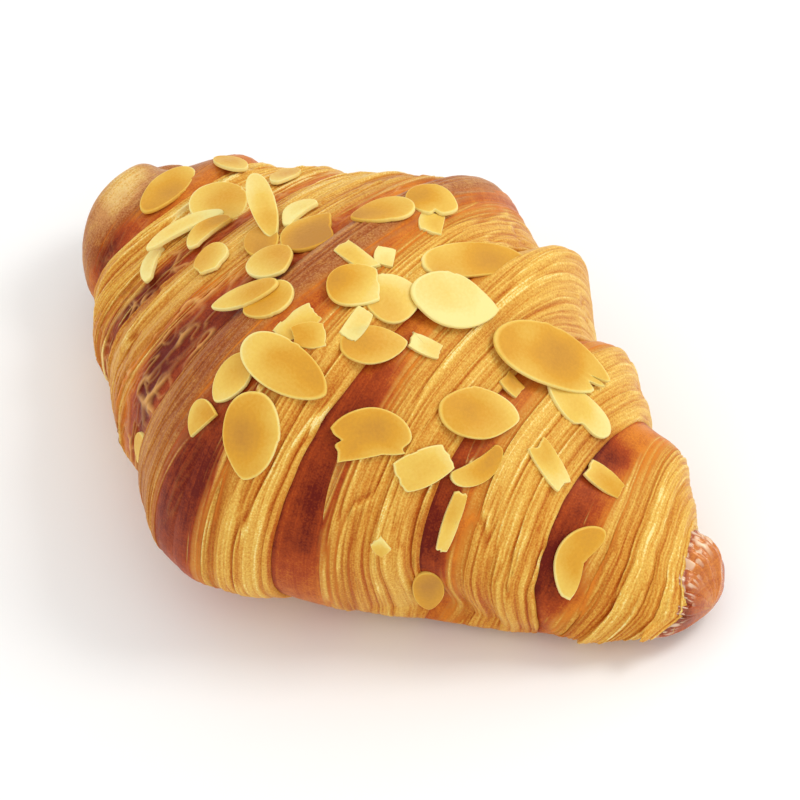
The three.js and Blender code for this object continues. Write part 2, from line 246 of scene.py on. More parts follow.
FLAKES = (
    # Left end
    Flake(-60.2, -3.6, 16, 8, 70, "whole", 0.75, rise=6),
    Flake(-52.5, -31, 12.5, 5.5, 20, "whole", 0.6),
    Flake(-43, -5.5, 15, 12, 10, "whole", 0.5, rise=14),
    Flake(-44.3, 8.7, 17, 4, 100, "sliver", 0.2, level=1, rise=14),
    Flake(-39.5, 5.5, 11, 5, 85, "sliver", 0.68, level=1, rise=10),
    Flake(-28, -4, 20, 5.2, 34, "whole", 0.38, level=1, rise=20),
    Flake(-30, 14, 9, 7.5, 40, "blunt", 0.5, rise=6, notches=((64, 0.2, 18), (-64, 0.2, 18))),
    Flake(-45.5, 27, 10, 4, 45, "sliver", 0.12),
    Flake(-23, 3.7, 11, 7, 30, "whole", 0.9, rise=8),
    Flake(-23, -7.5, 9, 4.5, 90, "sliver", 0.12, rise=10),
    Flake(-15, 9, 11.5, 9.5, 10, "whole", 0.55, level=1),
    Flake(-16.3, -2, 10.5, 11.5, -50, "blunt", 0.9, rise=6),
    Flake(-13.2, 20.3, 14.5, 6.3, 134, "whole", 0.55, level=1),
    Flake(-8.2, 18.5, 10.5, 9, 120, "whole", 0.68),
    Flake(-22, 82, 9, 4, 118, "sliver", 0.45),
    # Middle wrap
    Flake(-0.5, 19.5, 9, 5.5, 105, "block", 0.38),
    Flake(3, 20.5, 6.5, 5.5, 140, "block", 0.68),
    Flake(-4, 39, 11, 7.5, 90, "whole", 0.6),
    Flake(3.2, 30, 19, 10, 0, "whole", 0.68, level=1),
    Flake(5.2, 49, 16.5, 11, 70, "whole", 0.75),
    Flake(-5.8, 52, 7.3, 5.5, 115, "half", 0.55),
    Flake(-6, -13.7, 12.5, 8.5, 130, "whole", 0.8),
    Flake(-1.5, -24.5, 10.5, 8.5, -20, "whole", 0.6, rise=10, notches=((65, 0.25, 9),)),
    Flake(2, -19, 6, 5, 60, "chip", 0.38),
    Flake(-1.5, 0, 9.5, 4, 8, "chip", 0.38),
    Flake(2.5, 5.5, 10, 9.5, -45, "blunt", 0.6, level=1),
    Flake(2, -3.5, 4.5, 4, 60, "chip", 0.12),
    Flake(9, 2, 11.5, 10.5, -50, "whole", 0.45),
    Flake(16, -6.5, 18, 11.5, -40, "whole", 0, level=1),
    Flake(12.4, -20.5, 24, 7.5, -65, "whole", 0.68),
    Flake(12.3, 13, 13, 7.5, -45, "whole", 0.68),
    Flake(18.3, 5, 6.5, 3.5, -20, "chip", 0.12),
    Flake(8, 12, 7, 4, -95, "chip", 0.12),
    # Right end
    Flake(32.5, -19.6, 27, 13, -40, "whole", 0.68, level=1, notches=((14, 0.36, 4), (33, 0.28, 6))),
    Flake(41.4, -16, 16, 7, 164, "whole", 0.38, notches=((-110, 0.35, 18),)),
    Flake(31.6, 8.6, 16.5, 10, -33, "whole", 0.68),
    Flake(32, -4, 4.5, 3.5, 0, "chip", 0.68),
    Flake(21, 31.5, 15, 9.5, 140, "torn", 0.68, notches=((20, 0.25, 8), (200, 0.2, 10), (250, 0.15, 14))),
    Flake(30.5, 32, 11, 7, -55, "block", 0.38),
    Flake(37.4, 22.2, 11.8, 4.5, -62, "sliver", 0.68),
    Flake(38.7, 44.5, 12, 3.2, 82, "block", 0.45),
    Flake(44.7, 6, 10, 5, 18, "block", 0.38),
    Flake(52.3, -5, 8.5, 4.5, -10, "block", 0.68),
    Flake(57.3, 35.5, 15, 6.5, 95, "crescent", 0.68, notches=((-95, 0.42, 28),)),
    Flake(40, 86, 11, 6, 70, "whole", 0.85, level=1),
    Flake(31, 64, 3.5, 3, 30, "chip", 0.38),
    # Far side
    Flake(-38.5, -30, 11, 6, 60, "whole", 0.55),
    Flake(-22, -95, 10, 6.5, 20, "whole", 0.55),
    Flake(-36, -97, 9, 6, -10, "whole", 0.55),
    Flake(-3, -96, 11, 7, 15, "whole", 0.55),
    Flake(24, -108, 10, 6.5, -10, "torn", 0.55),
    Flake(39, -106, 9, 6, 10, "blunt", 0.55),
)
FLAKE_LEVEL = 0.8
FLAKE_DRAPE = 0.6
FLAKE_POINT = 0.25
FLAKE_BELLY = 0.12
FLAKE_FEET = np.array(((0.0, 0.0), (0.35, 0.0), (-0.35, 0.0), (0.0, 0.3), (0.0, -0.3)))
FLAKE_OUTLINE = 96
# Section of a flake from the middle of its underside to the middle of its top: shares outwards and up
FLAKE_SECTION = np.transpose(
    (
        (0.0, 0.5, 0.94, 0.985, 1.0, 1.0, 0.995, 0.982, 0.96, 0.92, 0.8, 0.6, 0.4, 0.2, 0.0),
        (0.0, 0.0, 0.0, 0.06, 0.22, 0.55, 0.8, 0.93, 0.99, 1.0, 1.0, 1.0, 1.0, 1.0, 1.0),
    )
)


def linear_colour(red, green, blue):
    """Linear colour of a display colour given from 0 to 255, by the sRGB curve."""
    shares = np.array((red, green, blue)) / 255.0
    low = shares / 12.92
    high = ((shares + 0.055) / 1.055) ** 2.4
    return tuple(float(value) for value in np.where(shares <= 0.04045, low, high))


def number_property(name, description, default, **kind):
    return FloatProperty(name=name, description=description, default=default, **kind)


def length_property(name, description, millimetres):
    return number_property(name, description, millimetres * MM, unit="LENGTH", precision=5)


def colour_property(name, description, red, green, blue):
    colour = linear_colour(red, green, blue)
    return FloatVectorProperty(
        name=name, description=description, default=colour, subtype="COLOR", min=0.0, max=1.0
    )


class RollSizes(PropertyGroup):
    """Main sizes of the roll"""

    half_width: length_property("Half width", "From the middle of the roll to its near side", 49.2)
    height: length_property("Height", "Of the plain roll at its middle", 61.0)
    bow: length_property("Bow", "How far both ends curve back", 12.0)


class CrustLooks(PropertyGroup):
    """Layers and colours of the baked crust"""

    bundle_width: length_property("Bundle width", "Of one bundle of layers", 2.8)
    bundle_height: length_property("Bundle height", "That one bundle stands over the next", 0.75)
    strand_width: length_property("Strand width", "Of one strand in a bundle", 0.9)
    strand_height: length_property("Strand height", "That one strand stands proud", 0.3)
    sheet_width: length_property("Sheet width", "Of one sheet between two creases", 2.0)
    sheet_height: length_property("Sheet height", "That a sheet's lip stands over its crease", 0.25)
    thread_width: length_property("Thread width", "Of one thread in a strand", 0.4)
    thread_height: length_property("Thread height", "That one thread stands proud", 0.1)
    column_width: length_property("Column width", "Of the facets along the roll", 0.15)
    rows: IntProperty(name="Rows", description="Of facets round the roll", default=360, min=48)
    # Layer colours: their dark groove end partly holds painted shade, and their pale ridge end partly
    # painted highlight
    groove: colour_property("Groove", "Between the layers", 184, 88, 22)
    dough: colour_property("Dough", "On the layers", 214, 146, 54)
    ridge: colour_property("Ridge", "On the edges of the layers", 238, 196, 94)
    # Painted highlight: the colour of the painted glints on the palest threads
    painted_glint: colour_property("Glint", "On the palest threads", 250, 226, 150)
    toasted_groove: colour_property("Toasted groove", "Between layers that are baked darker", 116, 46, 20)
    toasted: colour_property("Toasted", "On layers that are baked darker", 158, 82, 36)
    toasted_ridge: colour_property("Toasted ridge", "On the edges of such layers", 206, 148, 90)
    skin_light: colour_property("Light skin", "Where the skin is least baked", 218, 130, 40)
    skin_brown: colour_property("Brown skin", "Where the skin is well baked", 170, 70, 26)
    skin_dark: colour_property("Dark skin", "Where the skin is baked most", 102, 24, 16)
    crackle: colour_property("Crackle", "On the wrinkles of the skin", 228, 170, 96)
    # Painted highlight: pale glints painted on the wrinkles of the narrow end
    painted_nub_glint: colour_property("Painted nub glint", "On the shining wrinkles of the narrow end", 244, 218, 186)
    base: colour_property("Base", "On the flat underside", 150, 86, 40)


class AlmondLooks(PropertyGroup):
    """Sizes and colours of the flaked almonds"""

    thickness: length_property("Thickness", "Of a flake", 0.85)
    sink: length_property("Sink", "Depth that a flake is baked into the crust", 0.4)
    # Cream also colours the rims, partly as painted highlight
    cream: colour_property("Cream", "Flakes that are hardly baked, and rims", 240, 222, 142)
    pale: colour_property("Pale", "Flakes that are lightly baked", 232, 194, 88)
    golden: colour_property("Golden", "Flakes that are well baked", 216, 156, 42)
    tan: colour_property("Tan", "Flakes that are baked most", 188, 130, 46)


class StageLooks(PropertyGroup):
    """Floor, light and camera"""

    floor: colour_property("Floor", "Pale ground", 250, 250, 248)
    daylight: number_property("Daylight", "Strength of the even white light", 0.9)
    key_power: number_property("Key power", "Of the large lamp", 1.05, unit="POWER")
    fill_power: number_property("Fill power", "Of the second lamp", 0.45, unit="POWER")
    azimuth: number_property("Azimuth", "Of the camera", math.radians(40.65), subtype="ANGLE")
    elevation: number_property("Elevation", "Of the camera", math.radians(50.0), subtype="ANGLE")
    distance: length_property("Distance", "From the camera to the roll", 693.0)
    lens: number_property("Lens", "Focal length", 158.5, subtype="DISTANCE_CAMERA")


# Smooth functions


def ease(start, end, value):
    """Smooth step from 0 at start to 1 at end."""
    share = np.clip((value - start) / (end - start), 0.0, 1.0)
    return share * share * (3.0 - 2.0 * share)


def signed_power(base, exponent):
    return np.sign(base) * np.abs(base) ** exponent


def turn_from(degrees, angle):
    """Angle from a place given in degrees, the shorter way round."""
    return (angle - math.radians(degrees) + np.pi) % (2.0 * np.pi) - np.pi


def lattice_value(cell, seed):
    """Pseudo-random numbers from 0 to 1 for whole-number cells: a hash of their three coordinates."""
    mixed = cell[..., 0] * 73856093 ^ cell[..., 1] * 19349663 ^ cell[..., 2] * 83492791 ^ seed * 40503
    mixed = (mixed ^ (mixed >> 13)) * 1274126177
    return ((mixed ^ (mixed >> 16)) & 0xFFFF) / 0xFFFF


def smooth_noise(points, seed):
    """Value noise from -1 to 1: the eight lattice values round a point, blended by smooth steps."""
    cell = np.floor(points).astype(np.int64)
    blend = ease(0.0, 1.0, points - cell)
    total = np.zeros(points.shape[:-1])
    for corner in np.ndindex(2, 2, 2):
        step = np.array(corner)
        weight = np.prod(np.where(step, blend, 1.0 - blend), axis=-1)
        total += weight * lattice_value(cell + step, seed)
    return 2.0 * total - 1.0


def ring_noise(along, angle, waves, seed):
    """Noise on the roll that closes on itself: along in cells, about six cells a wave round it."""
    along, angle = np.broadcast_arrays(along, angle)
    return smooth_noise(np.stack((along, waves * np.cos(angle), waves * np.sin(angle)), axis=-1), seed)


# Form of the roll


def rounded_reach(x):
    return np.hypot(x, MIDDLE_ROUNDING) - MIDDLE_ROUNDING


def taper(x):
    """Share of the middle size left at x: falls from 1 to the end share by a power of the reach."""
    reach = np.minimum(rounded_reach(x) / rounded_reach(REACH), 1.0)
    end = np.where(x < 0, LEFT_TAPER[0], RIGHT_TAPER[0])
    power = np.where(x < 0, LEFT_TAPER[1], RIGHT_TAPER[1])
    return end + (1.0 - end) * (1.0 - reach**power) ** FULLNESS


def closing(x):
    """Quarter-round closing of the section towards each tip."""
    left = np.clip((x - LEFT_TIP) / LEFT_ROUNDING, 0.0, 1.0)
    right = np.clip((RIGHT_TIP - x) / RIGHT_ROUNDING, 0.0, 1.0)
    return np.sqrt((1.0 - (1.0 - left) ** 2) * (1.0 - (1.0 - right) ** 2))


def lift(x):
    """Height that the tips rise off the base, by the square of the way past the start of the lift."""
    share = np.clip((np.abs(x) / REACH - LIFT_START) / (1.0 - LIFT_START), 0.0, LIFT_LIMIT)
    return np.where(x < 0, LEFT_LIFT, RIGHT_LIFT) * share * share


def roll_point(roll, x, angle, swell=0.0, fill=1.0):
    """Points of the roll: a rounded oval across x, cut flat below, swollen outwards and shrunk by fill."""
    size = taper(x)
    shut = closing(x) * fill
    across = -signed_power(np.sin(angle), 2.0 / SQUARENESS)
    upward = signed_power(np.cos(angle), 2.0 / SQUARENESS)
    height = roll.height / MM * size
    waist = WAIST * height
    rise = np.where(upward > 0, height + swell - waist, waist * UNDERCUT)
    z = np.maximum(waist + rise * shut * upward, 0.0) + lift(x)
    y = (roll.half_width / MM * size + swell) * shut * across + roll.bow / MM * (x / REACH) ** 2
    return np.stack(np.broadcast_arrays(x, y, z), axis=-1)


def edge_place(edge, angle):
    """Place of an edge of dough along the roll: it leans by a parabola of the angle's sine."""
    near, lean, turn = EDGES[edge]
    sine = np.sin(angle + math.radians(turn))
    return near + lean * (1.0 - sine) * (3.0 + sine) / 4.0


def wrap_swell(share, drop):
    """Height of a wrap: rises from the skin by a quarter sine to its crest, and rolls over at the edge."""
    climb = np.sin(np.pi / 2.0 * np.clip(share / CREST_AT, 0.0, 1.0))
    return -drop + (drop + CREST) * climb - EDGE_ROLL * ease(CREST_AT, 1.0, share) ** 2


def bells(rows, x, angle):
    """Sum of bell curves along and round the roll: each row gives a place, a height and two spreads."""
    height = np.zeros(np.broadcast(x, angle).shape)
    for along, around, rise, spread_along, spread_around in rows:
        turn = turn_from(around, angle) / math.radians(spread_around)
        height += rise * np.exp(-(((x - along) / spread_along) ** 2) - turn**2)
    return height


def wrap_ends(wrap, angle):
    """Inner and outer end of half a wrap along the roll."""
    if wrap.inner is None:
        inner = (edge_place(MIDDLE_LEFT, angle) + edge_place(MIDDLE_RIGHT, angle)) / 2.0
    else:
        inner = edge_place(wrap.inner, angle)
    if wrap.outer is None:
        outer = np.full_like(angle, LEFT_TIP if wrap.side < 0 else RIGHT_TIP)
    else:
        outer = edge_place(wrap.outer, angle)
    return inner, outer


def crust_swell(x, angle):
    """Height of the crust without its fine layers, anywhere on the roll."""
    height = bells(BULGES, x, angle)
    for wrap in WRAPS:
        inner, outer = wrap_ends(wrap, angle)
        share = (x - inner) / (outer - inner)
        drop = 0.0 if wrap.inner is None else SKIN_DROP
        height = np.where((share >= 0.0) & (share < 1.0), height + wrap_swell(share, drop), height)
    return height


# Crust

# Noises of the crust: cell along the roll in mm, waves round it, own seed
WAVY_LAYERS = (14.0, 0.9, 1)
SHEEN = (4.0, 1.0, 6)
CRUMPLE = (4.0, 5.0, 7)
COARSE_NET = (2.3, 5.0, 8)
FINE_NET = (1.3, 9.0, 9)
NET_PATCHES = (7.0, 1.8, 10)
BLOTCHES = (5.0, 2.4, 11)
NET_BREAKS = (1.8, 6.0, 12)
SWELLS = (6.0, 3.0, 14)
NUB_WRINKLES = (7.0, 5.5, 15)
RAGGED_SKIN = (1.0, 2.5, 16)
TOAST_PATCHES = (9.0, 2.5, 17)
GLINT_PATCHES = (3.0, 5.0, 18)
NUB_GLINTS = (1.1, 20.0, 19)
WRAP_SEEDS = 20

# Radii of the roll in mm for lines and fibres, and the step in mm and least slope of a noise
ARC = 28.0
FIBRE_ARC = 30.0
SLOPE_STEP = 0.1
LEAST_SLOPE = 0.15

# Spacing of the rows of facets at the top, and its growth to the base
TOP_SPACING = 0.78
SPACING_GROWTH = 0.22

# Parts of the roll: degrees from the top to the near side between which each begins
FAR_SIDE = (30.0, -10.0)
TOP = (45.0, -25.0)
SHADED_SIDE = (30.0, 80.0)
NEAR_SIDE = (40.0, 80.0)
NEAR_FOOT = (60.0, 95.0)

# Edge of a bundle in its noise, and the way from a crease to its lip in mm
BUNDLE_EDGE = (-0.25, 0.1)
CREASE_TO_LIP = 0.5

# Browning of the skin: strengths, shares of its width, and degrees round the roll
COVERED_BAKE = 0.65
COVERED_SHARE = (0.0, 0.25)
OUTER_FADE = 0.95
OUTER_SHARE = (0.5, 1.2)
NEAR_SPREAD = 45.0
FAR_BAKE = 0.7
FAR_DARK_AT = -110.0
FAR_SPREAD = 40.0
# Painted shade: strength of a dark line along a skin's inner end, under the edge of the wrap before
SEAM_SHADE = 0.4

# End of the skin: depths of its waves and streaks, and its fade, in mm
WAVE_DEPTH = 1.2
STREAK_DEPTH = 6.0
STREAK_GLOW = 0.45
SKIN_FADE = (-1.5, 2.0)

# Layers: how far they are toasted beside the skin, where they are calmer, and their contrast
BESIDE_SKIN = 2.5
TOAST_CALM = 0.6
TOP_CALM = 0.4
MIDDLE_GLOW = 0.5
GLOW_CONTRAST = 0.85

# Browned underside: cosines of the angle where it ends, and its fade at the tips
BASE_EDGE = (-0.92, -0.7)
BASE_FADE = (0.6, 1.0)


def row_angles(count):
    """Angles round the roll, closer together over the top than under the base."""
    share = (np.arange(count) + 0.5) / count * 2.0 - 1.0
    return np.pi * share * (TOP_SPACING + SPACING_GROWTH * share * share)


def by_angle(part, angle):
    """Smooth step from 0 outside a part of the roll to 1 inside it."""
    start, end = part
    return ease(math.radians(start), math.radians(end), angle)


def thin_lines(values, thickness):
    """Lines where values cross zero: a bell curve of the value."""
    return np.exp(-((values / thickness) ** 2))


def crust_noise(pattern, along, angle, seed, size=1.0):
    """One of the crust's noises, with fewer waves round the roll where its size is smaller."""
    cell, waves, own = pattern
    return ring_noise(along / cell, angle, waves * size, seed + own)


def zero_lines(pattern, across, angle, seed, size=1.0):
    """Signed distance in mm from the lines where a noise crosses zero: its value over its slope."""
    value = crust_noise(pattern, across, angle, seed, size)
    ahead = crust_noise(pattern, across + SLOPE_STEP, angle, seed, size)
    beside = crust_noise(pattern, across, angle + SLOPE_STEP / ARC, seed, size)
    slope = np.hypot((ahead - value) / SLOPE_STEP, (beside - value) / SLOPE_STEP)
    return value / (slope + LEAST_SLOPE / pattern[0])


def flaky_layers(crust, across, angle, size, seed):
    """Height and brightness of torn layers that run along an edge of dough.

    Bundles of layers are long lenses: raised where a noise that is drawn out round the roll is positive,
    sunken where it is negative, with a lip between. Strands are rounded, and part where a finer noise
    crosses zero. Sheets end where a third noise crosses zero: a crease with a bright lip beside it. Where
    the roll is smaller the layers are finer.
    """
    across = across / (0.5 + 0.5 * size)
    bundle = crust_noise((crust.bundle_width / MM, 1.0, 2), across, angle, seed, size)
    strand = zero_lines((crust.strand_width / MM, 1.2, 3), across, angle, seed, size)
    thread = crust_noise((crust.thread_width / MM, 1.4, 4), across, angle, seed, size)
    sheet = zero_lines((crust.sheet_width / MM, 1.0, 5), across, angle, seed, size)
    sheen = crust_noise(SHEEN, across, angle, seed, size)
    raised = ease(*BUNDLE_EDGE, bundle)
    lip = thin_lines(bundle - BUNDLE_EDGE[1], thickness=0.08)
    groove = thin_lines(strand, thickness=0.14)
    rounded = 1.0 - thin_lines(strand, thickness=0.45)
    crease = thin_lines(sheet, thickness=0.22)
    # Painted highlight: a bright lip beside each crease, and glints in patches along these lips
    bright = thin_lines(sheet - CREASE_TO_LIP, thickness=0.25)
    painted_glint = bright * ease(0.1, 0.5, crust_noise(GLINT_PATCHES, across, angle, seed))
    height = (
        crust.bundle_height / MM * (raised - 0.7 + 0.2 * lip)
        + crust.strand_height / MM * (rounded - 0.8)
        + crust.thread_height / MM * thread
        + crust.sheet_height / MM * (bright - 1.5 * crease)
    )
    # Brightness is partly the dough's own and partly painted light: painted highlights on the lips and
    # glints, painted shade along the grooves and creases
    broad = 0.4 + 0.14 * raised + 0.1 * lip + 0.15 * sheen
    fine = 0.16 * rounded - 0.2 * groove + 0.13 * thread + 0.2 * bright + 0.3 * painted_glint - 0.3 * crease
    return height, broad + fine


def crackle_net(across, angle, seed):
    """Pale wrinkles like crumpled paper: thin, broken ridges where a coarse and a fine noise cross zero."""
    crumpled = across + 1.2 * crust_noise(CRUMPLE, across, angle, seed)
    coarse = thin_lines(zero_lines(COARSE_NET, crumpled, angle, seed), thickness=0.36)
    fine = thin_lines(zero_lines(FINE_NET, crumpled, angle, seed), thickness=0.22)
    patch = ease(-0.8, -0.1, crust_noise(NET_PATCHES, across, angle, seed))
    whole = ease(-0.35, 0.25, crust_noise(NET_BREAKS, across, angle, seed))
    return (0.4 + 0.6 * patch) * (0.3 + 0.7 * whole) * np.clip(0.95 * coarse + 0.6 * fine, 0.0, 1.0)


def skin_bake(wrap, share, x, angle, seed):
    """Browning of the skin: most at its darkest place and low on the far side, with blotches."""
    bared = 1.0 if wrap.inner is None else ease(*COVERED_SHARE, share)
    across = COVERED_BAKE + (1.0 - COVERED_BAKE) * bared
    across = across * (1.0 - OUTER_FADE * ease(*OUTER_SHARE, share))
    near = thin_lines(angle - math.radians(wrap.dark_at), math.radians(NEAR_SPREAD))
    far = FAR_BAKE * thin_lines(angle - math.radians(FAR_DARK_AT), math.radians(FAR_SPREAD))
    blotch = (0.1 + 0.25 * wrap.crackle) * crust_noise(BLOTCHES, x, angle, seed)
    return wrap.skin * across * (0.2 + 0.8 * (near + far)) + blotch


def crust_relief(wrap, crust, share, x, angle, width):
    """Fine relief of a wrap and what its colours follow: skin at its inner end, torn layers at its edge."""
    seed = WRAP_SEEDS * WRAPS.index(wrap)
    to_edge = (1.0 - share) * width
    across = to_edge + crust_noise(WAVY_LAYERS, to_edge, angle, seed)
    layer_height, glow = flaky_layers(crust, across, angle, taper(x), seed)
    wrinkle = wrap.crackle * crackle_net(across, angle, seed) if wrap.crackle else np.zeros(x.shape)
    swells = crust_noise(SWELLS, x, angle, seed)
    nub_wrinkles = wrap.gloss * np.abs(crust_noise(NUB_WRINKLES, x, angle, seed))
    # Painted highlight: pale glints painted on the narrow end near its edge, with a slight relief
    nub_glints = wrap.gloss * ease(0.15, 0.35, crust_noise(NUB_GLINTS, x, angle, seed))
    nub_glints = nub_glints * ease(0.6, 0.25, share)

    ragged = WAVE_DEPTH * crust_noise(RAGGED_SKIN, 0.0, angle, seed) + STREAK_DEPTH * (glow - STREAK_GLOW)
    far = by_angle(FAR_SIDE, angle)
    foot = by_angle(NEAR_FOOT, angle)
    skin_end = wrap.flaky_from * (1.0 - wrap.flaky_far * far - wrap.flaky_foot * foot)
    past_skin = (share - skin_end) * width + ragged
    flaky = ease(*SKIN_FADE, past_skin)
    top = by_angle(TOP, angle)
    calm = (1.0 - TOAST_CALM * wrap.toast) * (1.0 - TOP_CALM * top * (wrap.side > 0))
    skin_height = 0.25 * swells + 0.7 * wrinkle + 1.5 * nub_wrinkles + 0.2 * nub_glints
    layer_height = calm * layer_height + 0.2 * wrinkle
    height = flaky * layer_height + (1.0 - flaky) * skin_height

    spot = bells(SPOTS, x, angle)
    patch = 1.0 + 0.5 * crust_noise(TOAST_PATCHES, x, angle, seed)
    beside_skin = 0.25 * np.exp(-np.clip(past_skin, 0.0, None) / BESIDE_SKIN)
    toast = wrap.toast * (1.1 - 0.6 * by_angle(NEAR_SIDE, angle)) * patch + beside_skin + 0.7 * spot
    layer = MIDDLE_GLOW + GLOW_CONTRAST * calm * (glow - MIDDLE_GLOW)
    # Painted light: the layers a little lighter over the top, and painted shade on the shaded side
    layer = layer + 0.08 * top - 0.08 * by_angle(SHADED_SIDE, angle) - 0.4 * spot
    bake_and_seam_shade = skin_bake(wrap, share / skin_end, x, angle, seed) + spot
    # Painted shade along the skin's inner end, under the edge of the wrap before
    if wrap.inner is not None:
        bake_and_seam_shade = bake_and_seam_shade + SEAM_SHADE * thin_lines(share * width, thickness=0.7)
    fibre = (across, FIBRE_ARC * np.cos(angle), FIBRE_ARC * np.sin(angle))
    colours = {
        "flaky": flaky,
        "layer": np.clip(layer, 0.0, 1.0),
        # The narrow end's painted glints join the wrinkles and take the painted highlight colour
        "wrinkle": np.clip(wrinkle + 0.8 * nub_glints, 0.0, 1.0),
        "toast": np.clip(toast, 0.0, 1.0),
        "bake_and_seam_shade": np.clip(bake_and_seam_shade, 0.0, 1.0),
        "fibre": np.stack(np.broadcast_arrays(*fibre), axis=-1),
    }
    return height, colours


def torn_edge(wrap, angle):
    """How far an edge of dough stands out, in mm: long waves and small tears all round."""
    swing = ring_noise(0.0, angle, waves=2.0, seed=70 + wrap.outer)
    tears = ring_noise(0.0, angle, waves=9.0, seed=80 + wrap.outer)
    return 0.3 * swing + 0.1 * tears


def half_wrap(roll, crust, wrap, angle):
    """Surface of half a wrap and its colours, in columns out from its middle or its hidden inner end."""
    inner, outer = wrap_ends(wrap, angle)
    width = np.abs(outer - inner)
    count = int(width.max() / (crust.column_width / MM))
    body = np.linspace(0.0, 1.0, count)
    if wrap.outer is None:
        body = np.sin(np.pi / 2.0 * body)
    else:
        outer = outer + wrap.side * torn_edge(wrap, angle)
    inside = () if wrap.inner is None else TUCK
    outside = () if wrap.outer is None else LIP
    share = np.concatenate((np.zeros(len(inside)), body, np.ones(len(outside))))[:, None]
    plain = np.tile((0.0, 0.0, 1.0), (count, 1))
    ends = np.concatenate([part for part in (inside, plain, outside) if len(part)])
    shift, down, fill = (column[:, None] for column in ends.T)

    x = inner + (outer - inner) * share + wrap.side * shift
    drop = 0.0 if wrap.inner is None else SKIN_DROP
    fine, colours = crust_relief(wrap, crust, share, x, angle, width)
    under = ease(RELIEF_GONE, RELIEF_FULL, np.cos(angle))
    shards = bells(SHARDS, x, angle) if wrap.outer == LAST_EDGE else 0.0
    swell = (wrap_swell(share, drop) + bells(BULGES, x, angle) + fine) * under + shards - down
    colours["base"] = (1.0 - ease(*BASE_EDGE, np.cos(angle))) * ease(*BASE_FADE, closing(x))
    return roll_point(roll, x, np.broadcast_to(angle, x.shape), swell, fill), colours


def wrap_surface(roll, crust, halves, angle):
    """Columns of a wrap from left to right: its left half is turned round and joined to its right half."""
    surfaces = []
    for wrap in halves:
        points, colours = half_wrap(roll, crust, wrap, angle)
        order = slice(None, None, wrap.side)
        surfaces.append((points[order], {name: values[order] for name, values in colours.items()}))
    if len(surfaces) == 1:
        return surfaces[0]
    (left, left_colours), (right, right_colours) = surfaces
    points = np.concatenate((left, right[1:]))
    colours = {name: np.concatenate((left_colours[name], right_colours[name][1:])) for name in left_colours}
    return points, colours


def tube_faces(columns, rows):
    """Quads between the columns of a closed tube, and the triangles that close its two ends on a pole."""
    column, row = np.meshgrid(np.arange(columns - 1), np.arange(rows), indexing="ij")
    following = (row + 1) % rows
    here = column * rows
    there = here + rows
    corners = (here + row, here + following, there + following, there + row)
    quads = np.stack(corners, axis=-1).reshape(-1, 4)
    ring = np.arange(rows)
    ahead = (ring + 1) % rows
    last = (columns - 1) * rows
    first_pole = np.full(rows, columns * rows)
    first_fan = np.stack((ahead, ring, first_pole), axis=-1)
    last_fan = np.stack((last + ring, last + ahead, first_pole + 1), axis=-1)
    return quads, np.concatenate((first_fan, last_fan))


def with_poles(values):
    """Values of a tube's columns as one list, whose first and last columns become its two poles."""
    rings = values[1:-1].reshape(-1, *values.shape[2:])
    return np.concatenate((rings, values[:1, 0], values[-1:, 0]))


def new_piece(name, points, quads, triangles, colours, material):
    """Mesh object with smooth faces from points in mm, with one attribute for each set of colours."""
    mesh = bpy.data.meshes.new(name)
    corners = np.concatenate((quads.ravel(), triangles.ravel()))
    sizes = np.concatenate((np.full(len(quads), 4), np.full(len(triangles), 3)))
    mesh.vertices.add(len(points))
    mesh.vertices.foreach_set("co", (points * MM).astype(np.float32).ravel())
    mesh.loops.add(len(corners))
    mesh.loops.foreach_set("vertex_index", corners.astype(np.int32))
    mesh.polygons.add(len(sizes))
    mesh.polygons.foreach_set("loop_start", (np.cumsum(sizes) - sizes).astype(np.int32))
    mesh.update(calc_edges=True)
    if mesh.validate():
        raise RuntimeError(f"{name} has faces that aren't sound")
    mesh.shade_smooth()
    for attribute, values in colours.items():
        kind = "FLOAT" if values.ndim == 1 else "FLOAT_VECTOR"
        data = mesh.attributes.new(attribute, kind, "POINT").data
        data.foreach_set("value" if kind == "FLOAT" else "vector", values.astype(np.float32).ravel())
    mesh.materials.append(material)
    piece = bpy.data.objects.new(name, mesh)
    bpy.context.scene.collection.objects.link(piece)
    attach(piece, BODY)
    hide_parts(NODE)


# Almonds

# Points that an outline is drawn from, and how uneven its rim and its broken parts are
OUTLINE_PHASES = 720
RIM_UNEVEN = 0.09
RIM_TORN = 0.05
# Waves on a flake in mm, and how its tone leans to one side, turned in radians from flake to flake
RIPPLE_HEIGHT = 0.25
RIPPLE_LENGTH = 5.0
TONE_LEAN = 0.2
LEAN_STEP = 2.4
# Noises of the flakes: steps from one flake to the next, so that no two are alike
RIM_STEP = 7.0
RIPPLE_STEP = 3.5
GRAIN_STEP = 20.0


def stretched(values):
    """Values shifted and scaled to run from -1 to 1."""
    return 2.0 * (values - values.min()) / np.ptp(values) - 1.0


